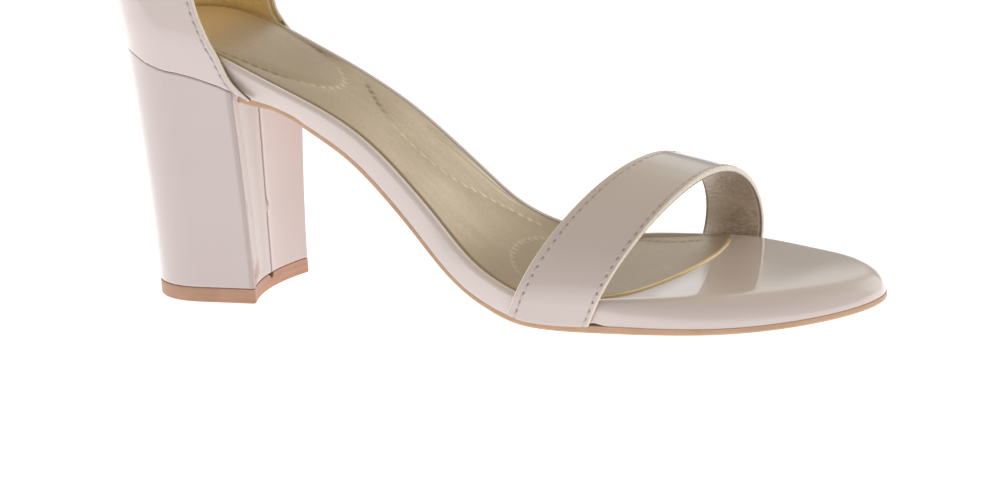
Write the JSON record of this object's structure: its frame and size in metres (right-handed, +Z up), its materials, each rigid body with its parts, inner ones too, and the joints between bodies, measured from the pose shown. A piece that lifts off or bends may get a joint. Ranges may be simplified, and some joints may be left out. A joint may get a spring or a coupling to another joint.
{
  "type": "dress sandal",
  "caption": "Women's dress sandal, right shoe: patent block heel and heel cup, a wide arched toe strap, and a metallic sock on a curved footbed with a thin tan sole.",
  "frame": {"origin": "middle of the shoe's box, on the floor", "axes": "+X from the heel to the toe, +Y to the medial side of the foot, +Z up"},
  "size_m": [0.2338, 0.0844, 0.1316],
  "materials": {
    "patent": "glossy nude patent",
    "strap_patent": "glossy nude patent",
    "cup_patent": "glossy nude patent",
    "heel_patent": "glossy nude patent over a hard block",
    "sole_tan": "satin tan",
    "tip_tan": "satin tan",
    "sock_gold": "soft metallic champagne"
  },
  "bodies": {
    "root": {"outsole": "sole_tan", "footbed": "patent", "sock_lining": "sock_gold", "front_strap": "strap_patent", "heel_counter": "cup_patent", "heel_block": "heel_patent", "heel_tip": "tip_tan"}
  },
  "joints": []
}
